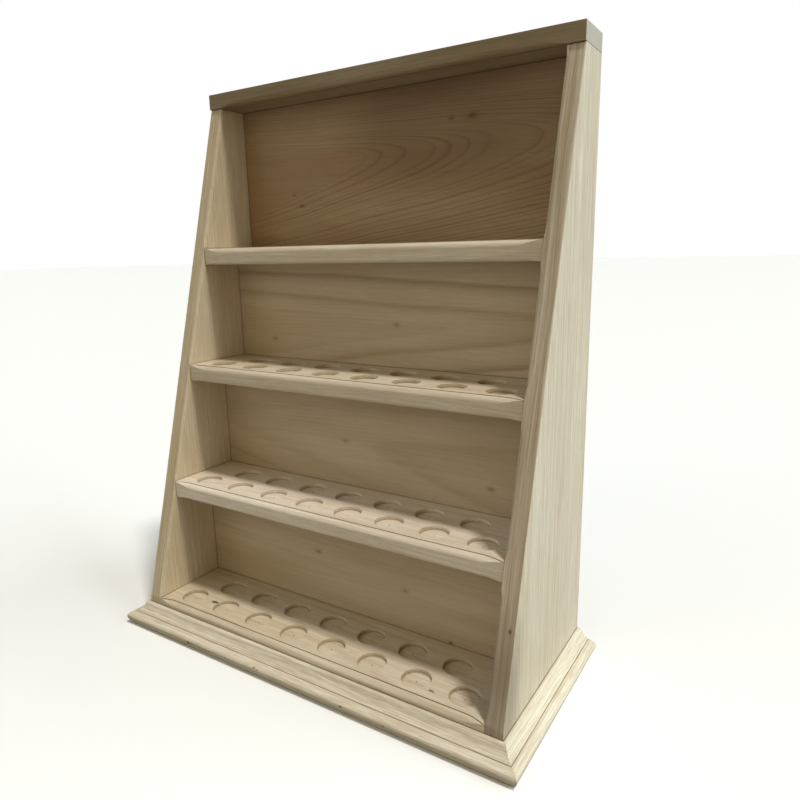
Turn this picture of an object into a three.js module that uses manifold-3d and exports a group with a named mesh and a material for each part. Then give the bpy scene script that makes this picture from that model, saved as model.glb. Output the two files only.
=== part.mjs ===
// Paint rack: tapered sides, a top board and four shelves with shallow round
// recesses, a stepped back board behind each bay, and a mitred base moulding.
// Millimetres. X to the right, Y to the back, Z up, origin at the middle of the footprint.

import * as THREE from 'three';
import { mergeVertices } from 'three/addons/utils/BufferGeometryUtils.js';
import Module from 'manifold-3d';

const wasm = await Module();
wasm.setup();

// ---------------------------------------------------------------- driving sizes

// Carcass
const RACK_WIDTH = 450; // over the outer faces of the two sides
const SIDE_HEIGHT = 591;
const BASE_DEPTH = 198; // a side, front to back, at its plumb foot
const TOP_DEPTH = 45; // a side, front to back, at its top
const SIDE_THICKNESS = 17;
const SHELF_THICKNESS = 19;
const TOP_THICKNESS = 16.5;
const BACK_THICKNESS = 9.5;
const TOP_OVERHANG = 2; // top board in front of the sides

// Shelves and bays
const SHELF_NAMES = ['bottom', 'lower', 'middle', 'upper'];
const BOTTOM_SHELF_HEIGHT = 32; // floor to the top of the bottom shelf
const SHELF_SPACING = 133;
const BAY_DEPTH = 89; // shelf front to the face of its back board

// Bottle recesses, in two staggered rows
const RECESS_RADIUS = 14.5;
const RECESS_DEPTH = 4;
const RECESS_PITCH = 50.5;
const FRONT_ROW_COUNT = 8;
const FRONT_ROW_SETBACK = 25; // shelf front to the centres of the front row
const ROW_SPACING = 35.5;

// Worked edges: a round over, a shallow shoulder, and a run-out left by the cutter
const SHELF_ROUND = 5.5;
const SHELF_UNDER_ROUND = 3.5;
const SHELF_SHOULDER = 0.6;
const SIDE_ROUND = 3.8;
const OUTER_ROUND = 1.4;
const SHAPER_RADIUS = 50;
const SIDE_CUTTER_RADIUS = 28;

// Base moulding
const MOULDING_HEIGHT = 24;
const MOULDING_PROJECTION = 20.5;
const MOULDING_TOP_FILLET = 3.6; // flat top, outwards
const MOULDING_TOP_STEP = 2; // step down below the flat top
const COVE_REACH = 8; // the hollow, outwards
const QUIRK_HEIGHT = 13.6; // floor to the groove between hollow and nose
const QUIRK_DEPTH = 0.8;
const NOSE_HEIGHT = 8.6; // floor to the widest line of the nose
const FOOT_REACH = 17; // underside, outwards
const FOOT_HEIGHT = 2;
const NOSE_UNDER_FLAT = 0.4; // between the foot and the nose's lower round
const NOSE_UNDER_TURN = Math.PI * 0.4; // how far the lower round turns under
const COVE_BEND_REACH = 0.22; // where the hollow bends, as a share of its reach
const COVE_BEND_HEIGHT = 0.36; // and as a share of its height
const TOP_FILLET_FALL = 0.2; // share of the top step that the flat top slopes by

// Joinery
const GLUE_LINE = 0.1; // between glued faces
const HOUSING_DEPTH = 5; // how far the grooves for the back boards enter the sides
const HOUSING_CLEARANCE = 0.2;
const DOWEL_RADIUS = 4;
const DOWEL_LENGTH = 30;
const DOWEL_IN_SIDE = 10; // part of a shelf dowel that is in the side
const DOWEL_IN_TOP = 9; // part of a top dowel that is in the top board
const DOWEL_CLEARANCE = 0.1;
const DOWEL_END_ROOM = 1;
const SHELF_DOWEL_SETBACKS = [18, 72]; // from the shelf front
const TOP_DOWEL_SETBACKS = [9, 27]; // from the front of a side's top
const BRAD_RADIUS = 0.7;
const BRAD_BITE = 12; // how far a brad enters the carcass
const BRAD_CLEARANCE = 0.05;
const BRAD_HEIGHT = 16.5; // floor to the line of brads
const BRAD_SET = 0.8; // head below the moulding's surface
const BRAD_END_DISTANCE = 30;
const FRONT_BRAD_COUNT = 4;
const SIDE_BRAD_COUNT = 3;

// Facets
const RECESS_SIDES = 20;
const DOWEL_SIDES = 12;
const BRAD_SIDES = 8;
const ROUND_STEPS = 5;
const RUN_OUT_STEPS = 5;

// ---------------------------------------------------------------- derived places

const INNER_WIDTH = RACK_WIDTH - 2 * SIDE_THICKNESS;
const HALF_WIDTH = RACK_WIDTH / 2;
const INNER_HALF = INNER_WIDTH / 2;
const REAR_Y = (BASE_DEPTH + MOULDING_PROJECTION) / 2;
const FOOT_FRONT_Y = REAR_Y - BASE_DEPTH;
const SLOPE = (BASE_DEPTH - TOP_DEPTH) / (SIDE_HEIGHT - BOTTOM_SHELF_HEIGHT);
const BACK_ROW_COUNT = FRONT_ROW_COUNT - 1;
const CUT_MARGIN = 2; // how far a cutter runs out of the board

const shelfTop = (level) => BOTTOM_SHELF_HEIGHT + level * SHELF_SPACING;

// Y of the sides' front edge: plumb up to the bottom shelf, then leaning back.
function frontY(height) {
  const rise = Math.max(height - BOTTOM_SHELF_HEIGHT, 0);
  return FOOT_FRONT_Y + rise * SLOPE;
}

// Y of the front face of a bay's back board. The top bay's board is flush with the rear.
function backFaceY(level) {
  const flush = REAR_Y - BACK_THICKNESS;
  if (level === SHELF_NAMES.length - 1) return flush;
  return Math.min(frontY(shelfTop(level)) + BAY_DEPTH, flush);
}

// Z of the underside of what is above a bay: the next shelf or the top board.
function bayCeiling(level) {
  if (level === SHELF_NAMES.length - 1) return SIDE_HEIGHT;
  return shelfTop(level + 1) - SHELF_THICKNESS;
}

// Places of `count` things spread evenly and centred on zero.
function spread(count, pitch) {
  return Array.from({ length: count }, (_, i) => (i - (count - 1) / 2) * pitch);
}

// Places of `count` things from `first` to `last`.
function between(first, last, count) {
  return Array.from({ length: count }, (_, i) => first + ((last - first) * i) / (count - 1));
}

// ---------------------------------------------------------------- solids

// A closed three.js geometry as a manifold solid, with its faces turned outwards.
function solid(geometry) {
  const bare = geometry.clone();
  bare.deleteAttribute('normal');
  bare.deleteAttribute('uv');
  const merged = mergeVertices(bare, 1e-4);
  const made = new wasm.Manifold(
    new wasm.Mesh({
      numProp: 3,
      vertProperties: new Float32Array(merged.attributes.position.array),
      triVerts: new Uint32Array(merged.index.array),
    }),
  );
  return made;
}

// A manifold solid as a three.js geometry.
function geometryOf(shape) {
  const mesh = shape.getMesh();
  const geometry = new THREE.BufferGeometry();
  geometry.setAttribute('position', new THREE.BufferAttribute(mesh.vertProperties, 3));
  geometry.setIndex(new THREE.BufferAttribute(mesh.triVerts, 1));
  geometry.computeVertexNormals();
  return geometry;
}

// A box from its lowest corner to its highest.
function box([x0, y0, z0], [x1, y1, z1]) {
  const geometry = new THREE.BoxGeometry(x1 - x0, y1 - y0, z1 - z0);
  geometry.translate((x0 + x1) / 2, (y0 + y1) / 2, (z0 + z1) / 2);
  return solid(geometry);
}

// A round peg from `start` along the unit vector `along`.
function peg(start, along, length, radius, sides) {
  const geometry = new THREE.CylinderGeometry(radius, radius, length, sides);
  const turn = new THREE.Quaternion().setFromUnitVectors(new THREE.Vector3(0, 1, 0), along);
  geometry.applyQuaternion(turn);
  const middle = start.clone().addScaledVector(along, length / 2);
  geometry.translate(middle.x, middle.y, middle.z);
  return solid(geometry);
}

// A closed skin through rings with equal counts of points; `outline` is a ring laid flat.
function loft(rings, outline) {
  const count = outline.length;
  const index = [];
  for (let ring = 0; ring < rings.length - 1; ring += 1) {
    for (let i = 0; i < count; i += 1) {
      const a = ring * count + i;
      const b = ring * count + ((i + 1) % count);
      index.push(a, b, b + count);
      index.push(a, b + count, a + count);
    }
  }
  const last = (rings.length - 1) * count;
  for (const [a, b, c] of THREE.ShapeUtils.triangulateShape(outline, [])) {
    index.push(a, c, b);
    index.push(last + a, last + b, last + c);
  }
  const geometry = new THREE.BufferGeometry();
  const places = rings.flat().flatMap((point) => point.toArray());
  geometry.setAttribute('position', new THREE.Float32BufferAttribute(places, 3));
  geometry.setIndex(index);
  return solid(geometry);
}

// The same skin, whichever way round its rings are given.
function outwards(rings, outline) {
  const made = loft(rings, outline);
  return made.volume() < 0 ? loft(rings.slice().reverse(), outline) : made;
}

// The waste that a shaper cutter takes off an arris. `start` is on the arris, `into` points
// from the worked edge into the board and `down` away from the shouldered face. With a
// cutterRadius the cut fades out at both ends, as the round cutter enters and leaves.
function edgeWaste({ start, along, into, down, length, radius, shoulder = 0, cutterRadius = 0 }) {
  const margin = radius + CUT_MARGIN;
  const profile = [];
  profile.push(new THREE.Vector2(-margin, -margin));
  profile.push(new THREE.Vector2(radius, -margin));
  for (let i = 0; i <= ROUND_STEPS; i += 1) {
    const angle = (i / ROUND_STEPS) * (Math.PI / 2);
    const u = radius - radius * Math.sin(angle);
    const v = shoulder + radius - radius * Math.cos(angle);
    profile.push(new THREE.Vector2(u, v));
  }
  profile.push(new THREE.Vector2(-margin, shoulder + radius));
  const stations = [];
  if (cutterRadius > 0) {
    const runOut = Math.sqrt(2 * cutterRadius * radius - radius * radius);
    for (let i = 0; i <= RUN_OUT_STEPS; i += 1) {
      const travel = (1 - i / RUN_OUT_STEPS) * runOut;
      const lift = cutterRadius - Math.sqrt(cutterRadius ** 2 - travel ** 2);
      stations.push({ at: runOut - travel, lift });
    }
    for (const { at, lift } of stations.slice().reverse()) {
      stations.push({ at: length - at, lift });
    }
  } else {
    stations.push({ at: -CUT_MARGIN, lift: 0 });
    stations.push({ at: length + CUT_MARGIN, lift: 0 });
  }
  const rings = stations.map(({ at, lift }) =>
    profile.map(({ x: u, y: v }) => {
      const depth = u > -margin ? u - lift : u;
      return start.clone()
        .addScaledVector(along, at)
        .addScaledVector(into, depth)
        .addScaledVector(down, v);
    }));
  return outwards(rings, profile);
}

const axis = (x, y, z) => new THREE.Vector3(x, y, z);
const RIGHTWARDS = axis(1, 0, 0);
const REARWARDS = axis(0, 1, 0);
const UPWARDS = axis(0, 0, 1);
const DOWNWARDS = axis(0, 0, -1);

// ---------------------------------------------------------------- joinery places

// Every dowel: its name, the end it starts from, its direction and what it joins.
function dowelPlaces() {
  const places = [];
  for (const side of [-1, 1]) {
    const hand = side < 0 ? 'left' : 'right';
    const outwards = axis(side, 0, 0);
    SHELF_NAMES.forEach((name, level) => {
      SHELF_DOWEL_SETBACKS.forEach((setback, i) => {
        const start = axis(
          side * (INNER_HALF + DOWEL_IN_SIDE - DOWEL_LENGTH),
          shelfFrontY(level) + setback,
          shelfTop(level) - SHELF_THICKNESS / 2,
        );
        places.push({ name: `dowel_${name}_${hand}_${i + 1}`, start, along: outwards, hand, level });
      });
    });
    TOP_DOWEL_SETBACKS.forEach((setback, i) => {
      const start = axis(
        side * (HALF_WIDTH - SIDE_THICKNESS / 2),
        frontY(SIDE_HEIGHT) + setback,
        SIDE_HEIGHT + DOWEL_IN_TOP - DOWEL_LENGTH,
      );
      places.push({ name: `dowel_top_${hand}_${i + 1}`, start, along: UPWARDS, hand, level: 'top' });
    });
  }
  return places;
}

const bradHeadReach = () => mouldingReachAt(BRAD_HEIGHT) - BRAD_SET;
const bradLength = () => bradHeadReach() + BRAD_BITE;

// Every brad: its name, where its head lies, its direction and the moulding it holds.
function bradPlaces() {
  const places = [];
  const headReach = bradHeadReach();
  const frontEnd = HALF_WIDTH - SIDE_THICKNESS / 2;
  between(-frontEnd, frontEnd, FRONT_BRAD_COUNT).forEach((x, i) => {
    const head = axis(x, FOOT_FRONT_Y - headReach, BRAD_HEIGHT);
    places.push({ name: `brad_front_${i + 1}`, head, along: REARWARDS, holds: 'front' });
  });
  for (const side of [-1, 1]) {
    const hand = side < 0 ? 'left' : 'right';
    const first = FOOT_FRONT_Y + BRAD_END_DISTANCE;
    const last = REAR_Y - BRAD_END_DISTANCE;
    between(first, last, SIDE_BRAD_COUNT).forEach((y, i) => {
      const head = axis(side * (HALF_WIDTH + headReach), y, BRAD_HEIGHT);
      places.push({ name: `brad_${hand}_${i + 1}`, head, along: axis(-side, 0, 0), holds: hand });
    });
  }
  return places;
}

// The hole for a dowel, a little wider and longer than the dowel.
function dowelHole({ start, along }) {
  const from = start.clone().addScaledVector(along, -DOWEL_END_ROOM);
  const length = DOWEL_LENGTH + 2 * DOWEL_END_ROOM;
  return peg(from, along, length, DOWEL_RADIUS + DOWEL_CLEARANCE, DOWEL_SIDES);
}

// The hole that a brad makes. It runs out to the moulding's surface over the set head.
function bradHole({ head, along }) {
  const from = head.clone().addScaledVector(along, -MOULDING_PROJECTION);
  const length = bradLength() + BRAD_CLEARANCE + MOULDING_PROJECTION;
  return peg(from, along, length, BRAD_RADIUS + BRAD_CLEARANCE, BRAD_SIDES);
}

function cutAll(shape, cutters) {
  return cutters.reduce((left, cutter) => left.subtract(cutter), shape);
}

// ---------------------------------------------------------------- shelves

const shelfFrontY = (level) => frontY(shelfTop(level));

// A shelf reaches back as far as the rear face of its own bay's back board.
const shelfRearY = (level) => backFaceY(level) + BACK_THICKNESS;

// The recesses: a front row, and a back row set half a pitch over.
function recessCutters(level) {
  const frontRow = shelfFrontY(level) + FRONT_ROW_SETBACK;
  const rows = [
    { y: frontRow, count: FRONT_ROW_COUNT },
    { y: frontRow + ROW_SPACING, count: BACK_ROW_COUNT },
  ];
  const floor = shelfTop(level) - RECESS_DEPTH;
  const height = RECESS_DEPTH + CUT_MARGIN;
  return rows.flatMap(({ y, count }) =>
    spread(count, RECESS_PITCH).map((x) =>
      peg(axis(x, y, floor), UPWARDS, height, RECESS_RADIUS, RECESS_SIDES)));
}

function shelfSolid(level) {
  const half = INNER_HALF - GLUE_LINE;
  const top = shelfTop(level);
  const under = top - SHELF_THICKNESS;
  const front = level === 0 ? shelfFrontY(level) + GLUE_LINE : shelfFrontY(level);
  const board = box([-half, front, under], [half, shelfRearY(level), top]);
  const edge = { along: RIGHTWARDS, into: REARWARDS, length: 2 * half, cutterRadius: SHAPER_RADIUS };
  const upperEdge = edgeWaste({
    ...edge,
    start: axis(-half, front, top),
    down: DOWNWARDS,
    radius: SHELF_ROUND,
    shoulder: SHELF_SHOULDER,
  });
  const lowerEdge = edgeWaste({
    ...edge,
    start: axis(-half, front, under),
    down: UPWARDS,
    radius: SHELF_UNDER_ROUND,
  });
  const dowels = dowelPlaces().filter((dowel) => dowel.level === level).map(dowelHole);
  const brads = level === 0 ? bradPlaces().map(bradHole) : [];
  return cutAll(board, [upperEdge, lowerEdge, ...recessCutters(level), ...dowels, ...brads]);
}

// ---------------------------------------------------------------- sides

// The side's outline in Y and Z: plumb foot, leaning front edge, upright rear edge.
function sideOutline() {
  const outline = new THREE.Shape();
  outline.moveTo(FOOT_FRONT_Y, 0);
  outline.lineTo(REAR_Y, 0);
  outline.lineTo(REAR_Y, SIDE_HEIGHT);
  outline.lineTo(frontY(SIDE_HEIGHT), SIDE_HEIGHT);
  outline.lineTo(FOOT_FRONT_Y, BOTTOM_SHELF_HEIGHT);
  return outline;
}

// The groove that houses one end of a bay's back board; the top one is open at the rear.
function backHousing(side, level) {
  const inner = side * (INNER_HALF - CUT_MARGIN);
  const depth = side * (INNER_HALF + HOUSING_DEPTH);
  const front = backFaceY(level) - HOUSING_CLEARANCE;
  const rear = backFaceY(level) + BACK_THICKNESS + HOUSING_CLEARANCE;
  const ceiling = bayCeiling(level) + (level === SHELF_NAMES.length - 1 ? CUT_MARGIN : 0);
  return box(
    [Math.min(inner, depth), front, shelfTop(level)],
    [Math.max(inner, depth), rear, ceiling],
  );
}

// The rounded inner front arris, bay by bay: it fades out just short of each shelf.
function bayArrisWaste(side, level) {
  const from = axis(side * INNER_HALF, frontY(shelfTop(level)), shelfTop(level));
  const to = axis(side * INNER_HALF, frontY(bayCeiling(level)), bayCeiling(level));
  const along = to.clone().sub(from).normalize();
  return edgeWaste({
    start: from,
    along,
    into: axis(0, along.z, -along.y),
    down: axis(side, 0, 0),
    length: from.distanceTo(to),
    radius: SIDE_ROUND,
    cutterRadius: SIDE_CUTTER_RADIUS,
  });
}

// The lightly eased outer front arris, over the leaning edge.
function outerArrisWaste(side) {
  const from = axis(side * HALF_WIDTH, FOOT_FRONT_Y, BOTTOM_SHELF_HEIGHT);
  const to = axis(side * HALF_WIDTH, frontY(SIDE_HEIGHT), SIDE_HEIGHT);
  const along = to.clone().sub(from).normalize();
  return edgeWaste({
    start: from,
    along,
    into: axis(0, along.z, -along.y),
    down: axis(-side, 0, 0),
    length: from.distanceTo(to),
    radius: OUTER_ROUND,
  });
}

function sideSolid(side) {
  const hand = side < 0 ? 'left' : 'right';
  const geometry = new THREE.ExtrudeGeometry(sideOutline(), {
    depth: SIDE_THICKNESS,
    bevelEnabled: false,
    steps: 1,
  });
  geometry.applyMatrix4(new THREE.Matrix4().makeBasis(REARWARDS, UPWARDS, RIGHTWARDS));
  geometry.translate(side < 0 ? -HALF_WIDTH : INNER_HALF, 0, 0);
  const levels = SHELF_NAMES.map((_, level) => level);
  const dowels = dowelPlaces().filter((dowel) => dowel.hand === hand).map(dowelHole);
  const brads = bradPlaces().map(bradHole);
  return cutAll(solid(geometry), [
    ...levels.map((level) => backHousing(side, level)),
    ...levels.map((level) => bayArrisWaste(side, level)),
    outerArrisWaste(side),
    ...dowels,
    ...brads,
  ]);
}

// ---------------------------------------------------------------- top and backs

function topSolid() {
  const front = frontY(SIDE_HEIGHT) - TOP_OVERHANG;
  const under = SIDE_HEIGHT + GLUE_LINE;
  const top = SIDE_HEIGHT + TOP_THICKNESS;
  const board = box([-HALF_WIDTH, front, under], [HALF_WIDTH, REAR_Y, top]);
  const lowerEdge = edgeWaste({
    start: axis(-INNER_HALF, front, under),
    along: RIGHTWARDS,
    into: REARWARDS,
    down: UPWARDS,
    length: INNER_WIDTH,
    radius: SHELF_ROUND,
    shoulder: SHELF_SHOULDER,
    cutterRadius: SHAPER_RADIUS,
  });
  const dowels = dowelPlaces().filter((dowel) => dowel.level === 'top').map(dowelHole);
  return cutAll(board, [lowerEdge, ...dowels]);
}

function backSolid(level) {
  const half = INNER_HALF + HOUSING_DEPTH - HOUSING_CLEARANCE;
  const front = backFaceY(level);
  return box(
    [-half, front, shelfTop(level) + GLUE_LINE],
    [half, front + BACK_THICKNESS, bayCeiling(level) - GLUE_LINE],
  );
}

// ---------------------------------------------------------------- base moulding

const NOSE_TOP_REACH = MOULDING_TOP_FILLET + MOULDING_TOP_STEP / 2 + COVE_REACH;

// The moulding's section: x outwards from the carcass, y up from the floor.
function mouldingSection() {
  const coveStart = MOULDING_TOP_FILLET + MOULDING_TOP_STEP / 2;
  const coveTop = MOULDING_HEIGHT - MOULDING_TOP_STEP;
  const underRound = MOULDING_PROJECTION - FOOT_REACH;
  const section = new THREE.Shape();
  section.moveTo(GLUE_LINE, 0);
  section.lineTo(FOOT_REACH, 0);
  section.lineTo(FOOT_REACH, FOOT_HEIGHT);
  section.absellipse(
    FOOT_REACH, NOSE_HEIGHT, underRound, NOSE_HEIGHT - FOOT_HEIGHT - NOSE_UNDER_FLAT,
    -NOSE_UNDER_TURN, 0, false,
  );
  section.absellipse(
    NOSE_TOP_REACH, NOSE_HEIGHT, MOULDING_PROJECTION - NOSE_TOP_REACH, QUIRK_HEIGHT - NOSE_HEIGHT,
    0, Math.PI / 2, false,
  );
  section.lineTo(NOSE_TOP_REACH - QUIRK_DEPTH / 2, QUIRK_HEIGHT - QUIRK_DEPTH);
  section.lineTo(NOSE_TOP_REACH - QUIRK_DEPTH, QUIRK_HEIGHT + QUIRK_DEPTH / 2);
  section.quadraticCurveTo(
    coveStart + COVE_REACH * COVE_BEND_REACH,
    QUIRK_HEIGHT + (coveTop - QUIRK_HEIGHT) * COVE_BEND_HEIGHT,
    coveStart, coveTop,
  );
  section.lineTo(MOULDING_TOP_FILLET, MOULDING_HEIGHT - MOULDING_TOP_STEP * TOP_FILLET_FALL);
  section.lineTo(GLUE_LINE, MOULDING_HEIGHT);
  return section.getPoints(ROUND_STEPS);
}

// How far the moulding reaches outwards at a height: where its section crosses that height.
function mouldingReachAt(height) {
  const points = mouldingSection();
  let reach = 0;
  points.forEach((point, i) => {
    const next = points[(i + 1) % points.length];
    const crosses = (point.y - height) * (next.y - height) < 0;
    if (!crosses) return;
    const share = (height - point.y) / (next.y - point.y);
    reach = Math.max(reach, point.x + share * (next.x - point.x));
  });
  return reach;
}

// The front length is mitred at both ends, so each end follows the section outwards.
function frontMouldingSolid() {
  const section = mouldingSection();
  const rings = [-1, 1].map((end) =>
    section.map(({ x: reach, y: height }) =>
      axis(end * (HALF_WIDTH + reach - GLUE_LINE), FOOT_FRONT_Y - reach, height)));
  return outwards(rings, section);
}

// A side length is mitred at the front and square at the rear.
function sideMouldingSolid(side) {
  const section = mouldingSection();
  const mitred = section.map(({ x: reach, y: height }) =>
    axis(side * (HALF_WIDTH + reach), FOOT_FRONT_Y - reach + GLUE_LINE, height));
  const square = section.map(({ x: reach, y: height }) =>
    axis(side * (HALF_WIDTH + reach), REAR_Y, height));
  return outwards([mitred, square], section);
}

// ---------------------------------------------------------------- the assembly

const wood = (color, roughness) =>
  new THREE.MeshStandardMaterial({ color, roughness, metalness: 0 });

const SIDE_WOOD = wood(0xd8c8a8, 0.72);
const SHELF_WOOD = wood(0xd2bf9c, 0.72);
const BACK_WOOD = wood(0xb59a6e, 0.75);
const MOULDING_WOOD = wood(0xdcc79c, 0.7);
const DOWEL_WOOD = wood(0xc9a878, 0.65);
const BRAD_STEEL = new THREE.MeshStandardMaterial({ color: 0x9a9a96, roughness: 0.35, metalness: 1 });

// A mesh stands at the middle of its own box, which is what its position says.
function piece(name, shape, material) {
  const geometry = geometryOf(shape);
  geometry.computeBoundingBox();
  const middle = geometry.boundingBox.getCenter(new THREE.Vector3()).round();
  geometry.translate(-middle.x, -middle.y, -middle.z);
  const mesh = new THREE.Mesh(geometry, material);
  mesh.name = name;
  mesh.position.copy(middle);
  return mesh;
}

function carcass() {
  const group = new THREE.Group();
  group.add(piece('left_side', sideSolid(-1), SIDE_WOOD));
  group.add(piece('right_side', sideSolid(1), SIDE_WOOD));
  group.add(piece('top_board', topSolid(), SIDE_WOOD));
  SHELF_NAMES.forEach((name, level) => {
    group.add(piece(`${name}_shelf`, shelfSolid(level), SHELF_WOOD));
    group.add(piece(`${name}_back`, backSolid(level), BACK_WOOD));
  });
  return group;
}

function baseMoulding() {
  const group = new THREE.Group();
  const brads = bradPlaces();
  const holes = (holds) => brads.filter((brad) => brad.holds === holds).map(bradHole);
  group.add(piece('front_moulding', cutAll(frontMouldingSolid(), holes('front')), MOULDING_WOOD));
  group.add(piece('left_moulding', cutAll(sideMouldingSolid(-1), holes('left')), MOULDING_WOOD));
  group.add(piece('right_moulding', cutAll(sideMouldingSolid(1), holes('right')), MOULDING_WOOD));
  for (const { name, head, along } of brads) {
    const brad = peg(head, along, bradLength(), BRAD_RADIUS, BRAD_SIDES);
    group.add(piece(name, brad, BRAD_STEEL));
  }
  return group;
}

function dowels() {
  const group = new THREE.Group();
  for (const { name, start, along } of dowelPlaces()) {
    group.add(piece(name, peg(start, along, DOWEL_LENGTH, DOWEL_RADIUS, DOWEL_SIDES), DOWEL_WOOD));
  }
  return group;
}

const rack = new THREE.Group();
rack.add(carcass());
rack.add(baseMoulding());
rack.add(dowels());

export default rack;
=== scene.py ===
# %% [markdown]
# # A paint rack in raw poplar
# This lesson dresses a small free-standing rack for paint bottles. The real one is planed,
# unfinished wood, taken here as poplar with a pine moulding: two sides that lean back, four
# shelves with shallow round recesses, a back board behind each bay, a top board and a mitred
# moulding round the foot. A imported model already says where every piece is, so the first step
# loads it as a frame. The boards' places are read from that frame, which keeps the looks and the
# measured model in one shape.

# %% Load the frame
import math
import random

import bmesh
import bpy
from mathutils import Matrix, Vector


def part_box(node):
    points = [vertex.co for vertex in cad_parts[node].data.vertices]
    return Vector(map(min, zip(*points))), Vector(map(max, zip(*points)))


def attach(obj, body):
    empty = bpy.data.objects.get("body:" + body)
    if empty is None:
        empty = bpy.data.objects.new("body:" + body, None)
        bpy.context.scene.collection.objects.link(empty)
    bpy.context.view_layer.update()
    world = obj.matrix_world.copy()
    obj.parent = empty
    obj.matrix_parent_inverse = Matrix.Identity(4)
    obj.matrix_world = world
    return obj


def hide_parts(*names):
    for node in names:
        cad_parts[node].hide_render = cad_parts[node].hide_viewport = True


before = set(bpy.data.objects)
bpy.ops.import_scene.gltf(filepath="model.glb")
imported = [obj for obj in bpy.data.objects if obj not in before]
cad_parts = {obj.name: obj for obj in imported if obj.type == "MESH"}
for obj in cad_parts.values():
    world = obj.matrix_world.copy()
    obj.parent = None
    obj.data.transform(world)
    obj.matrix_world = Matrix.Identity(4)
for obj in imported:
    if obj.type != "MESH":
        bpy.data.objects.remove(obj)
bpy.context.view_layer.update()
print("pieces in the frame:", len(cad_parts))

# %% [markdown]
# ## Millimetres
# A woodworker thinks in millimetres and Blender in metres. Every shape below is worked out in
# millimetres and turned to metres once, where a mesh is made. `box_of` reads a board's lowest and
# highest corner from the frame in the same unit.

# %% Millimetres and the boards' places
MM = 0.001


def box_of(node_name):
    """A board's lowest and highest corner, in millimetres."""
    low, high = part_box(node_name)
    return low / MM, high / MM


BAYS = ["bottom", "lower", "middle", "upper"]
SIDE_LOW, SIDE_HIGH = box_of("left_side")
RIGHT_HIGH = box_of("right_side")[1]
TOP_LOW, TOP_HIGH = box_of("top_board")
print("rack, mm:", [round(v) for v in RIGHT_HIGH - SIDE_LOW], "top at", round(TOP_HIGH.z, 1))

# %% [markdown]
# ## The camera
# The view is a three-quarter one from the front right, at the height of the upper shelf, with a
# short lens that makes the near corner of the foot loom. A real hand-held camera is never quite
# level, so there is a small roll. The directions are built from three angles, because a matrix
# made of its own right, up and back vectors leaves nothing to guess.

# %% Camera
CAMERA_PLACE = Vector((0.41016, -0.52943, 0.42190))  # metres
CAMERA_AROUND = math.radians(32.423)
CAMERA_DOWN = math.radians(12.646)
CAMERA_ROLL = math.radians(-1.180)
SENSOR_MM = 36
LENS_MM = 29.62


def looking(around, down, roll):
    """A turn that looks along the given angles: around the rack, downwards and rolled."""
    ahead = Vector((
        -math.sin(around) * math.cos(down),
        math.cos(around) * math.cos(down),
        -math.sin(down),
    ))
    level = ahead.cross(Vector((0, 0, 1))).normalized()
    above = level.cross(ahead)
    across = math.cos(roll) * level + math.sin(roll) * above
    upright = math.cos(roll) * above - math.sin(roll) * level
    return Matrix((across, upright, -ahead)).transposed().to_4x4()


camera_data = bpy.data.cameras.new("camera")
camera_data.sensor_width = SENSOR_MM
camera_data.lens = LENS_MM
camera = bpy.data.objects.new("camera", camera_data)
turn = looking(CAMERA_AROUND, CAMERA_DOWN, CAMERA_ROLL)
camera.matrix_world = Matrix.Translation(CAMERA_PLACE) @ turn
bpy.context.scene.collection.objects.link(camera)
bpy.context.scene.camera = camera
print("camera, m:", [round(v, 3) for v in CAMERA_PLACE])

# %% [markdown]
# ## Colours and nodes
# Colours are picked as sRGB hex values, as on a paint card, and turned to the linear numbers that
# a renderer adds and multiplies. A material is a graph of nodes. One small helper adds a node
# with its settings and links, so each line of a material reads as one step of the recipe.

# %% Colour and node helpers
def linear(hex_value):
    """The linear colour of an sRGB hex value."""
    parts = [int(hex_value[i:i + 2], 16) / 255 for i in (1, 3, 5)]
    # the sRGB curve is straight near black and a power above
    parts = [p / 12.92 if p <= 0.04045 else ((p + 0.055) / 1.055) ** 2.4 for p in parts]
    return (*parts, 1)


def node(tree, kind, inputs=None, out=0, ramp=None, **settings):
    """Adds one node. A socket in `inputs` is linked, a value is set. Returns one output."""
    made = tree.nodes.new("ShaderNode" + kind)
    for name, value in settings.items():
        setattr(made, name, value)
    for socket, value in (inputs or {}).items():
        if isinstance(value, bpy.types.NodeSocket):
            tree.links.new(value, made.inputs[socket])
        else:
            made.inputs[socket].default_value = value
    if ramp:
        stops = made.color_ramp.elements
        while len(stops) < len(ramp):
            stops.new(0.5)
        for stop, (place, shade) in zip(stops, ramp):
            stop.position = place
            stop.color = (shade, shade, shade, 1)
    return made.outputs[out]


def blank_material(name):
    """A new material with its tree and its main shader."""
    material = bpy.data.materials.new(name)
    material.use_nodes = True
    return material, material.node_tree, material.node_tree.nodes["Principled BSDF"]


print("poplar in linear:", [round(v, 2) for v in linear("#d7c9b2")])

# %% [markdown]
# ## The floor and the backdrop
# The rack stands on a plain pale floor that meets a plain pale backdrop. A wide sheet for the
# floor and a white sky that only the camera sees give that without a visible wall. A white floor
# would also throw light up under every shelf and wash out the bays, so the paint is pale to the
# camera and grey to the light that bounces, as if a dark cloth lay round the rack just outside
# the picture.

# %% Floor
FLOOR_REACH = 30  # metres, to each side
FLOOR_DROP = 0.0002  # metres, so that the rack's foot and the floor don't share a plane
FLOOR_SEEN = ("#fefefd", "#fbfbfa")
FLOOR_BOUNCE = "#898580"
FLOOR_ROUGHNESS = 0.85

floor_mesh = bpy.data.meshes.new("floor")
corners = [(-1, -1), (1, -1), (1, 1), (-1, 1)]
corners = [(x * FLOOR_REACH, y * FLOOR_REACH, -FLOOR_DROP) for x, y in corners]
floor_mesh.from_pydata(corners, [], [(0, 1, 2, 3)])
floor = bpy.data.objects.new("floor", floor_mesh)
bpy.context.scene.collection.objects.link(floor)

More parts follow.
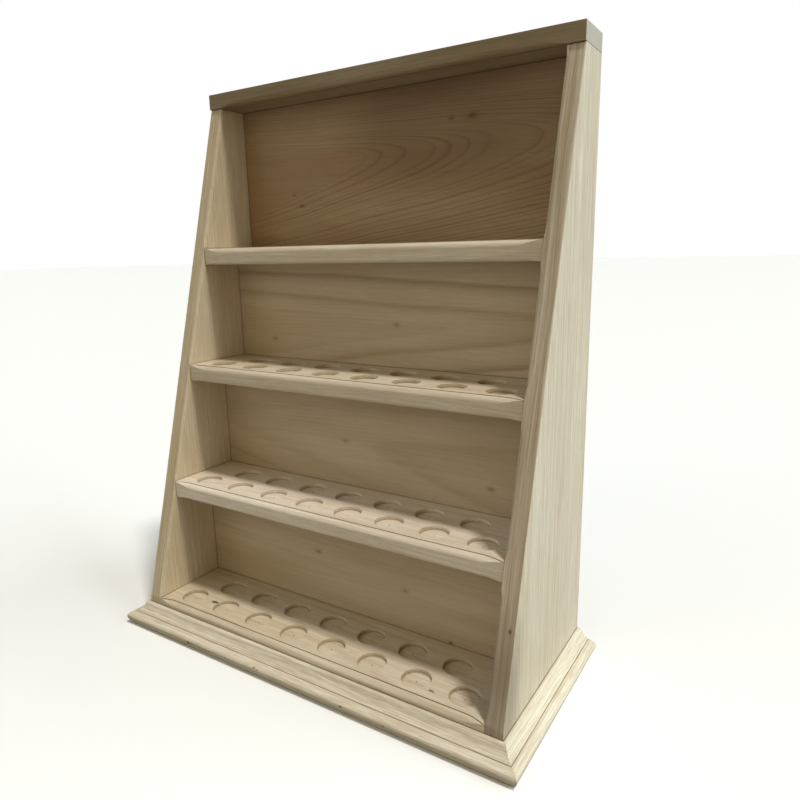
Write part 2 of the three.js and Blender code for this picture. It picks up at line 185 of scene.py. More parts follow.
floor_paint, tree, shader = blank_material("matt_white_studio_floor")
mottle = node(tree, "TexNoise", {"Scale": 3.0, "Detail": 3.0})
seen = [linear(tone) for tone in FLOOR_SEEN]
pale = node(tree, "Mix", {0: mottle, 6: seen[0], 7: seen[1]}, out=2, data_type="RGBA")
to_camera = node(tree, "LightPath")
grey = linear(FLOOR_BOUNCE)
paint = node(tree, "Mix", {0: to_camera, 6: grey, 7: pale}, out=2, data_type="RGBA")
tree.links.new(paint, shader.inputs["Base Color"])
shader.inputs["Roughness"].default_value = FLOOR_ROUGHNESS
floor_mesh.materials.append(floor_paint)
print("floor, m across:", 2 * FLOOR_REACH)

# %% [markdown]
# ## The light
# The light on the real rack comes almost straight down, a little from the right, and it is fairly
# small: each shelf throws a shadow edge along the shelf below it, between its two rows of
# recesses, and across the left side. One sun lamp with a few degrees of size gives those edges.
# Three very wide suns stand for soft boxes: a cool one at the right that whitens the outer side,
# a dim cool one at the left and a dim warm one in front. The sky gives no light of its own, or
# the bays would go flat.

# %% Lamps
def sun(name, towards, strength, size_degrees, colour):
    """A lamp so far away that only its direction counts. A strength of 1 lights white to white."""
    data = bpy.data.lights.new(name, "SUN")
    data.energy = strength * math.pi
    data.angle = math.radians(size_degrees)
    data.color = colour
    lamp = bpy.data.objects.new(name, data)
    lamp.rotation_mode = "QUATERNION"
    lamp.rotation_quaternion = Vector(towards).to_track_quat("Z", "Y")
    bpy.context.scene.collection.objects.link(lamp)
    print(f"{name}: strength {strength}, {size_degrees} degrees wide")


sun("key_light", (0.39, -0.043, 1.0), 0.66, 7.5, (1.0, 0.96, 0.90))
sun("right_soft_light", (1.0, 0.35, 0.35), 0.92, 60, (0.84, 0.96, 1.0))
sun("left_soft_light", (-1.0, -0.5, 0.4), 0.30, 80, (0.86, 0.94, 1.0))
sun("front_soft_light", (0.15, -1.0, 0.15), 0.30, 100, (1.0, 0.86, 0.55))

SKY_SEEN = 1.0
world = bpy.data.worlds.new("studio")
bpy.context.scene.world = world
world.use_nodes = True
tree = world.node_tree
tree.links.new(node(tree, "LightPath"), tree.nodes["Background"].inputs["Strength"])
tree.nodes["Background"].inputs["Color"].default_value = (SKY_SEEN, SKY_SEEN, SKY_SEEN, 1)
bpy.context.scene.view_settings.view_transform = "Standard"

# %% [markdown]
# ## Raw planed poplar
# Poplar sawn and planed but never oiled is a pale, matt wood. What the eye reads is, from large
# to small: slow patches of a browner tone, the year rings that make flames on a flat-sawn face
# and straight lines on a quarter-sawn one, streaks two or three millimetres wide, and short dark
# fibres. It could be painted face by face, but a board is a block cut out of a tree, so here
# every pattern is a field in space: the rings are the distance from the tree's centre line, which
# for most boards lies outside the board, and the streaks are noise drawn out along the grain.
# Faces, edges and end grain then agree at every corner, as they do in real wood.
#
# `grain` names the axes along the grain, across the face and through the thickness. No board is
# quite straight in the grain, so the pattern sways slowly on its way along. Each kind of noise
# has its size in millimetres, along the grain and across it.

# %% Places in a board
SWAY_LENGTH = 260
SWAY_WIDTH = 75
SEED_STEPS = (37.0, 91.0, 53.0)
PATCH = (230, 45)
STREAK = (170, 2.4)
FIBRE = (26, 0.8)
PORE = (7, 0.7)


def in_millimetres(tree):
    """Where a point of the surface is in the rack, in millimetres."""
    metres = node(tree, "TexCoord", out="Object")
    return node(tree, "VectorMath", {0: metres, "Scale": 1 / MM}, operation="SCALE")


def board_space(tree, grain, seed, sway_mm, front_edge=None):
    """Places in the rack and in the bent board, the same not moved by the seed, and the front."""
    rack = in_millimetres(tree)
    place = {axis: node(tree, "SeparateXYZ", {0: rack}, out=axis) for axis in "XYZ"}
    is_front = None
    if front_edge:
        slope, foot, _ = front_edge
        normal = node(tree, "NewGeometry", out="True Normal")
        facing = node(tree, "SeparateXYZ", {0: normal}, out="Y")
        is_front = node(tree, "MapRange", {"Value": facing, "From Min": -0.5, "From Max": -0.8})
        risen = node(tree, "Math", {0: place["Z"], 1: foot}, operation="SUBTRACT")
        risen = node(tree, "Math", {0: risen, 1: 0.0}, operation="MAXIMUM")
        back = node(tree, "Math", {0: risen, 1: -slope}, operation="MULTIPLY")
        place["Y"] = node(tree, "Math", {
            0: back, 1: is_front, 2: place["Y"]}, operation="MULTIPLY_ADD")
    board = node(tree, "CombineXYZ", {i: place[axis] for i, axis in enumerate(grain)})
    moved = node(tree, "VectorMath", {0: board, 1: tuple(step * seed for step in SEED_STEPS)})
    slowness = (1 / SWAY_LENGTH, 1 / SWAY_WIDTH, 1 / SWAY_WIDTH)
    slow = node(tree, "VectorMath", {0: moved, 1: slowness}, operation="MULTIPLY")
    sway = node(tree, "TexNoise", {"Vector": slow, "Scale": 1.0, "Detail": 1.5}, out="Color")
    centred = node(tree, "VectorMath", {0: sway, 1: (0.5, 0.5, 0.5)}, operation="SUBTRACT")
    shift = node(tree, "VectorMath", {0: centred, 1: (0, sway_mm, sway_mm)}, operation="MULTIPLY")
    bent = node(tree, "VectorMath", {0: moved, 1: shift})
    bent_in_place = node(tree, "VectorMath", {0: board, 1: shift})
    return rack, bent, bent_in_place, is_front


def stretched_noise(tree, place, size, detail=2.0):
    """Noise drawn out along the grain: `size` is along and across it, in millimetres."""
    along, across = size
    shrink = (1 / along, 1 / across, 1 / across)
    small = node(tree, "VectorMath", {0: place, 1: shrink}, operation="MULTIPLY")
    return node(tree, "TexNoise", {
        "Vector": small, "Scale": 1.0, "Detail": detail, "Roughness": 0.6})


for pattern, size in (("patch", PATCH), ("streak", STREAK), ("fibre", FIBRE), ("pore", PORE)):
    print(f"{pattern}, mm: {size[0]} along the grain, {size[1]} across")

# %% [markdown]
# ## Year rings
# `centre` is where the tree's centre line passes, in millimetres across and through. `taper` is
# how fast the rings narrow along the board, which draws the flames, `climb` is how the centre
# line rises along the board, and `lopsided` crowds the rings on the upper side, as in a trunk
# that grew on a slope. Inside `heart_mm` the wood has no visible rings: it is the calm, slightly
# darker heart of a flame.

# %% Rings round the tree's centre line
HEART_EDGE = 0.8
RING_DRIFT = 0.45  # how fast good and poor years follow each other
RING_UNEVENNESS = 1.4  # in ring widths
FAINTEST_RING = 0.35
LATE_WOOD = [(0.0, 0.45), (0.05, 0.08), (0.4, 0.0), (0.72, 0.22), (0.93, 0.8), (1.0, 0.45)]


def year_rings(tree, place, centre, climb, taper, lopsided, ring_mm, first_ring, heart_mm, seed):
    """How dark the wood is in its year rings, and where its calm heart is, both from 0 to 1."""
    apart = node(tree, "VectorMath", {0: place, 1: (0, *centre)}, operation="SUBTRACT")
    along = node(tree, "SeparateXYZ", {0: apart}, out=0)
    across = node(tree, "SeparateXYZ", {0: apart}, out=1)
    through = node(tree, "SeparateXYZ", {0: apart}, out=2)
    across = node(tree, "Math", {0: along, 1: -climb, 2: across}, operation="MULTIPLY_ADD")
    upper = node(tree, "Math", {0: across, 1: 0.0}, operation="MAXIMUM")
    across = node(tree, "Math", {0: upper, 1: lopsided, 2: across}, operation="MULTIPLY_ADD")
    flat = node(tree, "CombineXYZ", {1: across, 2: through})
    radius = node(tree, "VectorMath", {0: flat}, out="Value", operation="LENGTH")
    cone = node(tree, "Math", {0: along, 1: taper, 2: radius}, operation="MULTIPLY_ADD")
    heart = node(tree, "MapRange", {
        "Value": cone, "From Min": heart_mm - HEART_EDGE, "From Max": heart_mm + HEART_EDGE,
        "To Min": 1.0, "To Max": 0.0})
    cone = node(tree, "Math", {0: cone, 1: first_ring}, operation="SUBTRACT")
    count = node(tree, "Math", {0: cone, 1: ring_mm}, operation="DIVIDE")
    uneven = node(tree, "TexNoise", {
        "W": count, "Scale": RING_DRIFT, "Detail": 1.0}, noise_dimensions="1D")
    uneven = node(tree, "Math", {0: uneven, 1: 0.5}, operation="SUBTRACT")
    years = node(tree, "Math", {
        0: uneven, 1: RING_UNEVENNESS, 2: count}, operation="MULTIPLY_ADD")
    within = node(tree, "Math", {0: years}, operation="FRACT")
    late = node(tree, "ValToRGB", {0: within}, ramp=LATE_WOOD)
    which = node(tree, "Math", {0: years}, operation="FLOOR")
    keyed = node(tree, "Math", {0: which, 1: seed})
    chance = node(tree, "TexWhiteNoise", {"W": keyed}, noise_dimensions="1D")
    strength = node(tree, "MapRange", {"Value": chance, "To Min": FAINTEST_RING, "To Max": 1.0})
    rings = node(tree, "Math", {0: late, 1: strength}, operation="MULTIPLY")
    outside = node(tree, "Math", {0: 1.0, 1: heart}, operation="SUBTRACT")
    return node(tree, "Math", {0: rings, 1: outside}, operation="MULTIPLY"), heart


print("stops from early to late wood:", len(LATE_WOOD))

# %% [markdown]
# ## Knots, specks, dust and painted corner shade
# A raw rack that has stood in a workshop shows pin knots, specks of dirt and a darker line where
# two boards meet, because dust stays in corners. A mark is a soft oval of colour round a point,
# drawn out along the grain, which is cheap and exact. The darkening in the corners comes from an
# ambient occlusion node with a reach of a few millimetres, which finds every joint and recess by
# itself. It paints in that dust and also the shade that falls into corners, joints and recesses.

# %% Marks, dust and painted corner shade
ALONG_THE_GRAIN = 0.55
MARK_CORE = 0.4  # full depth inside this share of a mark's radius
MARK_FADE = 1.4  # none left outside this one
# the colour of dust and of painted shade in inner corners, joints and recesses
CORNER_DUST_AND_SHADE = "#55432d"
CORNER_SHADE_REACH = 2.2
CORNER_SHADE_STRENGTH = 0.62


def marked(tree, colour, rack, grain, marks):
    """`colour` with soft spots: each has x, y, z, a radius in millimetres, a depth and a tint."""
    shape = [ALONG_THE_GRAIN if axis == grain[0] else 1 for axis in "XYZ"]
    for x, y, z, size, depth, tint in marks:
        apart = node(tree, "VectorMath", {0: rack, 1: (x, y, z)}, operation="SUBTRACT")
        oval = node(tree, "VectorMath", {0: apart, 1: shape}, operation="MULTIPLY")
        away = node(tree, "VectorMath", {0: oval}, out="Value", operation="LENGTH")
        core = node(tree, "MapRange", {
            "Value": away, "From Min": size * MARK_CORE, "From Max": size * MARK_FADE,
            "To Min": depth, "To Max": 0.0}, interpolation_type="SMOOTHSTEP")
        colour = node(tree, "Mix", {0: core, 6: colour, 7: linear(tint)}, out=2, data_type="RGBA")
    return colour


def dust_and_corner_shade(tree, colour):
    """`colour` darkened in inner corners, joints and recesses: dust, and painted shade."""
    open_sky = node(tree, "AmbientOcclusion", {"Distance": CORNER_SHADE_REACH * MM}, out="AO", samples=6)
    hidden = node(tree, "MapRange", {
        "Value": open_sky, "From Min": 0.35, "From Max": 0.9,
        "To Min": CORNER_SHADE_STRENGTH, "To Max": 0.0})
    return node(tree, "Mix", {0: hidden, 6: colour, 7: linear(CORNER_DUST_AND_SHADE)}, out=2, data_type="RGBA")


print("a mark 10 mm wide is drawn", round(10 / ALONG_THE_GRAIN, 1), "mm long")

# %% [markdown]
# ## The wood as a whole
# The recipe mixes two base tones in slow patches, lays the rings over them, and multiplies by the
# streaks and fibres. Raw wood scatters light with almost no sheen: roughness near 0.65 and a
# refractive index of 1.5, which is typical for cellulose. The fibres also drive a bump of a few
# hundredths of a millimetre, because planing tears them a little. They are drawn 0.8 mm wide,
# about twice their real size, or they would be too fine to see. End grain drinks dust and reads
# darker, so any face that looks along the grain, such as part of a recess's wall, is tinted
# towards the late wood, or towards an end tone of its own. A dark fibre is brown, not grey, so
# `FIBRE_WARMTH` takes more blue than red out of the streaks and fibres.

# %% Streaks, fibres and pores
FIBRE_WARMTH = (0.8, 1.05, 1.5)
PORE_SHADE = 0.82


def grain_shade(tree, streaks, fibres, pores, streak_depth, fibre_depth):
    """What the fine grain multiplies the wood's colour by."""
    streak = node(tree, "MapRange", {
        "Value": streaks, "From Min": 0.3, "From Max": 0.7,
        "To Min": 1 - streak_depth, "To Max": 1 + streak_depth * 0.5})
    fibre = node(tree, "MapRange", {
        "Value": fibres, "From Min": 0.3, "From Max": 0.7,
        "To Min": 1 - fibre_depth, "To Max": 1 + fibre_depth * 0.5})
    pore = node(tree, "MapRange", {
        "Value": pores, "From Min": 0.66, "From Max": 0.74, "To Min": 1.0, "To Max": PORE_SHADE})
    shade = node(tree, "Math", {0: streak, 1: fibre}, operation="MULTIPLY")
    shade = node(tree, "Math", {0: shade, 1: pore}, operation="MULTIPLY")
    powers = enumerate(FIBRE_WARMTH)
    return node(tree, "CombineXYZ", {
        i: node(tree, "Math", {0: shade, 1: power}, operation="POWER") for i, power in powers})


print("the darkest pore keeps, in red, green, blue:", [
    round(PORE_SHADE ** power, 2) for power in FIBRE_WARMTH])

# %% [markdown]
# ## Broad tones, ends and the handled edge
# The broad tones go on first: patches, then the calm heart, then the rings. The ends are tinted
# after the fine grain, and so is a leaning front edge, which hands and dust brown. The dirt there
# settles more in the dark streaks than in the pale ones.

# %% Broad tones, ends and the handled edge
HANDLED = "#8a7757"
GRIME_IN_DARK_STREAKS = 1.45
GRIME_IN_PALE_STREAKS = 0.6


def broad_tones(tree, tones, patches, rings, ring_depth, heart, heart_depth):
    """The wood's colour before the fine grain."""
    pale, patch, late = tones
    where = node(tree, "MapRange", {"Value": patches, "From Min": 0.36, "From Max": 0.64})
    colour = node(tree, "Mix", {0: where, 6: pale, 7: patch}, out=2, data_type="RGBA")
    calm = node(tree, "Math", {0: heart, 1: heart_depth}, operation="MULTIPLY")
    colour = node(tree, "Mix", {0: calm, 6: colour, 7: late}, out=2, data_type="RGBA")
    ringed = node(tree, "Math", {0: rings, 1: ring_depth}, operation="MULTIPLY")
    return node(tree, "Mix", {0: ringed, 6: colour, 7: late}, out=2, data_type="RGBA")


def end_grained(tree, colour, grain, tone, depth):
    """`colour` tinted on faces that look along the grain."""
    normal = node(tree, "NewGeometry", out="True Normal")
    facing = node(tree, "SeparateXYZ", {0: normal}, out=grain[0])
    facing = node(tree, "Math", {0: facing}, operation="ABSOLUTE")
    end_grain = node(tree, "MapRange", {
        "Value": facing, "From Min": 0.6, "From Max": 0.95, "To Min": 0.0, "To Max": depth})
    return node(tree, "Mix", {0: end_grain, 6: colour, 7: tone}, out=2, data_type="RGBA")


def handled(tree, colour, streaks, is_front, wear):
    """`colour` browned on the leaning front edge."""
    grime = node(tree, "MapRange", {
        "Value": streaks, "From Min": 0.32, "From Max": 0.62,
        "To Min": wear * GRIME_IN_DARK_STREAKS, "To Max": wear * GRIME_IN_PALE_STREAKS})
    dirty = node(tree, "Math", {0: is_front, 1: grime}, operation="MULTIPLY")
    return node(tree, "Mix", {0: dirty, 6: colour, 7: linear(HANDLED)}, out=2, data_type="RGBA")


print("grime, dark streaks to pale ones:", round(GRIME_IN_DARK_STREAKS / GRIME_IN_PALE_STREAKS, 1))

# %% [markdown]
# ## One recipe for every board
# The wood of each board is one call of this recipe. Boards differ in their tones, in where they
# lay in the tree, in how strong their grain is and in their marks. A knot is two marks: a wide
# faint halo in the tone of the late wood, and a brown core.

# %% Raw wood
KNOT_BROWN = "#5c432b"
HALO_REACH = 2.2
HALO_DEPTH = 0.3
ROUGHNESS = (0.58, 0.74)
WOOD_IOR = 1.5
WOOD_SPECULAR = 0.3
FIBRE_RELIEF = 0.12


def raw_wood(name, grain, tones, centre, climb=0.0, taper=0.02, lopsided=0.0, ring_mm=5.0,
             first_ring=0.0, heart_mm=-1e3, heart_depth=0.0, ring_depth=0.6, streak_depth=0.12,
             fibre_depth=0.14, sway_mm=14, seed=1.0, knots=(), specks=(), front_edge=None,
             end_tone=None, end_depth=0.35):
    """Raw planed wood for one board. `tones` are the pale wood, its patches and its late rings."""
    material, tree, shader = blank_material(name)
    linear_tones = [linear(tone) for tone in tones]
    rack, bent, in_place, is_front = board_space(tree, grain, seed, sway_mm, front_edge)
    rings, heart = year_rings(
        tree, in_place, centre, climb, taper, lopsided, ring_mm, first_ring, heart_mm, seed)
    patches = stretched_noise(tree, bent, PATCH)
    streaks = stretched_noise(tree, bent, STREAK)
    fibres = stretched_noise(tree, bent, FIBRE, detail=3.0)
    pores = stretched_noise(tree, bent, PORE, detail=1.0)

    colour = broad_tones(tree, linear_tones, patches, rings, ring_depth, heart, heart_depth)
    shade = grain_shade(tree, streaks, fibres, pores, streak_depth, fibre_depth)
    colour = node(tree, "VectorMath", {0: colour, 1: shade}, operation="MULTIPLY")
    ends = linear(end_tone) if end_tone else linear_tones[2]
    colour = end_grained(tree, colour, grain, ends, end_depth)
    if front_edge:
        colour = handled(tree, colour, streaks, is_front, front_edge[2])
    halos = [(x, y, z, size * HALO_REACH, HALO_DEPTH, tones[2]) for x, y, z, size, _ in knots]
    colour = marked(tree, colour, rack, grain, halos)
    colour = marked(tree, colour, rack, grain, [(*knot, KNOT_BROWN) for knot in knots])
    colour = marked(tree, colour, rack, grain, specks)
    # dust and painted shade in corners, joints and recesses
    colour = dust_and_corner_shade(tree, colour)
    tree.links.new(colour, shader.inputs["Base Color"])

    rough = node(tree, "MapRange", {
        "Value": fibres, "To Min": ROUGHNESS[0], "To Max": ROUGHNESS[1]})
    tree.links.new(rough, shader.inputs["Roughness"])
    shader.inputs["IOR"].default_value = WOOD_IOR
    shader.inputs["Specular IOR Level"].default_value = WOOD_SPECULAR
    relief = node(tree, "Math", {0: streaks, 1: 0.5, 2: fibres}, operation="MULTIPLY_ADD")
    bump = node(tree, "Bump", {
        "Height": relief, "Distance": FIBRE_RELIEF * MM, "Strength": 0.7})
    tree.links.new(bump, shader.inputs["Normal"])
    print(f"{name}: {len(tree.nodes)} nodes")
    return material


# %% [markdown]
# ## Building boards
# A board starts as an outline that is pushed along one axis, with every arris eased by a few
# tenths of a millimetre, as sandpaper does. Without that easing no edge would catch the light.

# %% Solids
EASE = 0.45
EASE_STEPS = 3
AXES = {"X": Vector((1, 0, 0)), "Y": Vector((0, 1, 0)), "Z": Vector((0, 0, 1))}


def solid_of(name, points, faces, ease=0.0):
    """A closed object from points in millimetres, its faces turned outwards, its arrises eased."""
    shape = bmesh.new()
    corners = [shape.verts.new(point) for point in points]
    for face in faces:
        shape.faces.new([corners[i] for i in face])
    bmesh.ops.recalc_face_normals(shape, faces=shape.faces[:])
    if ease:
        bmesh.ops.bevel(shape, geom=shape.edges[:], offset=ease, segments=EASE_STEPS,
                         profile=0.5, affect="EDGES")
    bmesh.ops.scale(shape, vec=(MM, MM, MM), verts=shape.verts[:])
    mesh = bpy.data.meshes.new(name)
    shape.to_mesh(mesh)
    shape.free()
    made = bpy.data.objects.new(name, mesh)
    bpy.context.scene.collection.objects.link(made)
    return made


def skin_through(rings):
    """Points and faces of a closed skin through rings with equal counts of points."""
    count = len(rings[0])
    points = [point for ring in rings for point in ring]
    faces = [list(range(count)), list(range(len(points) - count, len(points)))]
    for ring in range(len(rings) - 1):
        for i in range(count):
            a, b = ring * count + i, ring * count + (i + 1) % count
            faces.append((a, b, b + count, a + count))
    return points, faces


def box_between(low, high):
    """Points and faces of a box."""
    corners = ((low[1], low[2]), (high[1], low[2]), (high[1], high[2]), (low[1], high[2]))
    return skin_through([[(x, y, z) for y, z in corners] for x in (low[0], high[0])])


def together(*shapes):
    """Several closed skins that don't touch, as one list of points and one of faces."""
    points, faces = [], []
    for more_points, more_faces in shapes:
        faces += [[i + len(points) for i in face] for face in more_faces]
        points += more_points
    return points, faces


print("faces of the top board's blank:", len(box_between(TOP_LOW, TOP_HIGH)[1]))

# %% [markdown]
# ## Cutting and finishing
# Everything else is taken away, as in the workshop: a cutter is a solid of its own and a boolean
# subtracts it. A boolean that fails can leave nothing at all and say nothing, so each finished
# board is measured against the node it stands for. Its rounds are then shaded softly and its flat
# faces kept flat.

# %% Cutting and finishing
BOX_TOLERANCE = 0.3
WELD = 0.001
SLIVER = 0.0001


def carve(board, *cutters):
    """Takes the cutters off a board, one after the other."""
    tools = []
    for i, (points, faces) in enumerate(cutters):
        tool = solid_of(f"cutter_{i}", points, faces)
        modifier = board.modifiers.new(tool.name, "BOOLEAN")
        modifier.object = tool
        modifier.solver = "EXACT"
        tools.append(tool)
    bpy.context.view_layer.update()
    done = board.evaluated_get(bpy.context.evaluated_depsgraph_get())
    mesh = bpy.data.meshes.new_from_object(done)
    board.modifiers.clear()
    board.data = mesh
    mesh.name = board.name
    for tool in tools:
        bpy.data.objects.remove(tool)
    return board


def check_box(board, node_name):
    """Stops the script if a board is empty or isn't the size of the node it stands for."""
    points = [vertex.co / MM for vertex in board.data.vertices]
    if not points:
        raise RuntimeError(f"{board.name} has no shape left after its cuts")
    for axis, (want_low, want_high) in enumerate(zip(*box_of(node_name))):
        low = min(point[axis] for point in points)
        high = max(point[axis] for point in points)
        if abs(low - want_low) > BOX_TOLERANCE or abs(high - want_high) > BOX_TOLERANCE:
            raise RuntimeError(f"{board.name} runs {low:.2f} to {high:.2f} on axis {axis}, "
                               f"{node_name} runs {want_low:.2f} to {want_high:.2f}")


def finish_board(board, material, slot, *nodes, sharp_degrees=34):
    """Shades a board, checks its size, and gives it its wood and its place in the frame."""
    shape = bmesh.new()
    shape.from_mesh(board.data)
    bmesh.ops.remove_doubles(shape, verts=shape.verts[:], dist=WELD * MM)
    bmesh.ops.dissolve_degenerate(shape, edges=shape.edges[:], dist=SLIVER * MM)
    shape.to_mesh(board.data)
    shape.free()
    board.data.shade_smooth()
    board.data.set_sharp_from_angle(angle=math.radians(sharp_degrees))
    check_box(board, nodes[0])
    flat = board.modifiers.new("flat_faces_stay_flat", "WEIGHTED_NORMAL")
    flat.keep_sharp = True
    board.data.materials.clear()
    board.data.materials.append(material)
    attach(board, "root")
    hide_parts(*nodes)
    print(f"{board.name}: {len(board.data.polygons)} faces")


print("a finished board may differ from its node by", BOX_TOLERANCE, "mm")


# %% [markdown]
# ## The router's marks
# The worked edges tell how the rack was made. A round-over bit ran along each front arris and
# stopped short of the ends, so its round fades out over some twenty millimetres in a pointed
# leaf, and on the shelves it left a small shoulder with a scored line at its foot. The cutter
# below is that waste: the bit's profile, lifted out of the wood along an arc at both ends.

# %% Edge cutter
ROUND_STEPS = 12
RUN_OUT_STEPS = 14
CUT_MARGIN = 2
SCORE = 0.5


def run_out_of(radius, bit_radius):
    """How far a round takes to fade out when a bit of a given radius lifts away."""
    return math.sqrt(2 * bit_radius * radius - radius ** 2)


def edge_cutter(start, along, into, down, length, radius, shoulder=0.0, bit_radius=0.0):
    """The waste of a round-over along an arris that starts at `start`."""
    margin = radius + CUT_MARGIN
    profile = [(-margin, -margin), (radius, -margin)]
    if shoulder:
        profile.append((radius, shoulder + SCORE))
    for i in range(ROUND_STEPS + 1):
        angle = i / ROUND_STEPS * math.pi / 2
        reach = radius - radius * math.sin(angle)
        if shoulder and reach > radius - SCORE:
            continue
        profile.append((reach, shoulder + radius - radius * math.cos(angle)))
    profile.append((-margin, shoulder + radius))
    stations = [(-CUT_MARGIN, 0), (length + CUT_MARGIN, 0)]
    if bit_radius:
        run_out = run_out_of(radius, bit_radius)
        stations = []
        for i in range(RUN_OUT_STEPS + 1):
            travel = (1 - i / RUN_OUT_STEPS) * run_out
            lift = bit_radius - math.sqrt(bit_radius ** 2 - travel ** 2)
            stations.append((run_out - travel, lift))
        stations += [(length - at, lift) for at, lift in reversed(stations)]
    rings = []
    for at, lift in stations:
        rings.append([
            start + along * at + into * (u - lift if u > -margin else u) + down * v
            for u, v in profile])
    return skin_through(rings)


print("sides of a quarter round:", ROUND_STEPS)


# %% [markdown]
# ## Blind holes
# The dowels and brads that hold the rack together are hidden, but they are in the frame. Each
# board gets a hole wherever one of them enters it, a tenth of a millimetre wider, so no two
# pieces share the same space.

# %% Dowel and brad holes
HOLE_CLEARANCE = 0.1
HOLE_SIDES = 24


def round_bar(low, high, clearance):
    """A round bar in a box, along its longest side, a little wider and longer than the box."""
    size = high - low
    longest = max(range(3), key=lambda i: size[i])
    others = [i for i in range(3) if i != longest]
    radius = size[others[0]] / 2 + clearance
    middle = (low + high) / 2
    rings = []
    for end in (low[longest] - clearance, high[longest] + clearance):
        ring = []
        for i in range(HOLE_SIDES):
            angle = 2 * math.pi * i / HOLE_SIDES
            point = middle.copy()
            point[longest] = end
            point[others[0]] += radius * math.cos(angle)
            point[others[1]] += radius * math.sin(angle)
            ring.append(point)
        rings.append(ring)
    return skin_through(rings)


def holes_in(node_name):
    """Cutters for every dowel and brad that enters a board."""
    low, high = box_of(node_name)
    bars = []
    for name in sorted(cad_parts):
        if not name.startswith(("dowel_", "brad_")):
            continue
        bar_low, bar_high = box_of(name)
        if all(bar_low[i] < high[i] and bar_high[i] > low[i] for i in range(3)):
            bars.append(round_bar(bar_low, bar_high, HOLE_CLEARANCE))
    return together(*bars)


print("faces of the cutters for the left side's holes:", len(holes_in("left_side")[1]))


# %% [markdown]
# ## The recesses
# Each bottle stands in a shallow recess bored with a flat-bottomed bit. Such a bit scores the rim
# with its spurs, leaves a small hole at the centre from its point, and tears the rim a little
# where it leaves against the grain. The recess is turned like a bowl: one profile swept round,
# with a small seeded wobble at its rim on the torn side.

# %% Recess cutter
RECESS_RADIUS = 14.5
RECESS_DEPTH = 4
RECESS_PITCH = 50.5
FRONT_ROW_SETBACK = 25
ROW_SPACING = 35.5
FRONT_ROW_COUNT = 8
POINT_RADIUS = 0.9
POINT_DEPTH = 1.2
AXIS_GAP = 0.001
TORN_POINTS = (7, 8, 9)  # the points of the profile that make the rim
TEAR = 0.55
RECESS_STEPS = 80

chance = random.Random(20)


def recess_cutter(x, y, top):
    """The waste of one bored recess under a board's top face."""
    depth = RECESS_DEPTH
    profile = [
        (AXIS_GAP, -depth - POINT_DEPTH),
        (POINT_RADIUS * 0.7, -depth - POINT_DEPTH * 0.5), (POINT_RADIUS, -depth),
        (RECESS_RADIUS - 1.0, -depth),
        (RECESS_RADIUS - 0.35, -depth - 0.3), (RECESS_RADIUS, -depth - 0.05),
        (RECESS_RADIUS, -0.35), (RECESS_RADIUS + 0.1, -0.12), (RECESS_RADIUS + 0.34, 0.0),
        (RECESS_RADIUS + 0.6, CUT_MARGIN), (AXIS_GAP, CUT_MARGIN),
    ]
    tear_start = math.pi + chance.uniform(-0.5, 0.5)
    tears = [chance.uniform(0, 1) for _ in range(RECESS_STEPS)]
    points, faces = [], []
    for step in range(RECESS_STEPS):
        angle = 2 * math.pi * step / RECESS_STEPS
        torn = max(0.0, math.cos(angle - tear_start)) ** 2
        for i, (radius, height) in enumerate(profile):
            if i in TORN_POINTS:
                radius += TEAR * torn * tears[step]
            out = (radius * math.cos(angle), radius * math.sin(angle))
            points.append(Vector((x + out[0], y + out[1], top + height)))
    count = len(profile)
    for step in range(RECESS_STEPS):
        here, after = step * count, (step + 1) % RECESS_STEPS * count
        for i in range(count - 1):
            faces.append((here + i, after + i, after + i + 1, here + i + 1))
    faces.append([step * count for step in range(RECESS_STEPS)])
    faces.append([step * count + count - 1 for step in range(RECESS_STEPS)])
    return points, faces


def recess_rows(front):
    """The centres of the two staggered rows on a shelf whose front is at `front`."""
    rows = [(front + FRONT_ROW_SETBACK, FRONT_ROW_COUNT),
            (front + FRONT_ROW_SETBACK + ROW_SPACING, FRONT_ROW_COUNT - 1)]
    return [((i - (count - 1) / 2) * RECESS_PITCH, y) for y, count in rows for i in range(count)]


print("recesses on a shelf:", len(recess_rows(0)))


# %% [markdown]
# ## The shelves
# A shelf runs its grain from side to side. It is a long eased board less its two worked front
# arrises, its fifteen recesses and its dowel holes. The recesses could be modelled into a grid,
# but cutting them keeps the top face perfectly flat around them.

# %% Shelf boards
SHELF_ROUND = 5.5
SHELF_UNDER_ROUND = 3.5
SHELF_SHOULDER = 0.6
SHAPER_RADIUS = 50


def shelf_board(bay):
    """One shelf, cut as in the workshop."""
    low, high = box_of(f"{bay}_shelf")
    length = high.x - low.x
    board = solid_of(f"{bay}_shelf_board", *box_between(low, high), ease=EASE)
    upper = edge_cutter(Vector((low.x, low.y, high.z)), AXES["X"], AXES["Y"], -AXES["Z"],
                        length, SHELF_ROUND, SHELF_SHOULDER, SHAPER_RADIUS)
    under = edge_cutter(low, AXES["X"], AXES["Y"], AXES["Z"],
                        length, SHELF_UNDER_ROUND, 0, SHAPER_RADIUS)
    recesses = together(*(recess_cutter(x, y, high.z) for x, y in recess_rows(low.y)))
    return carve(board, upper, under, recesses, holes_in(f"{bay}_shelf"))


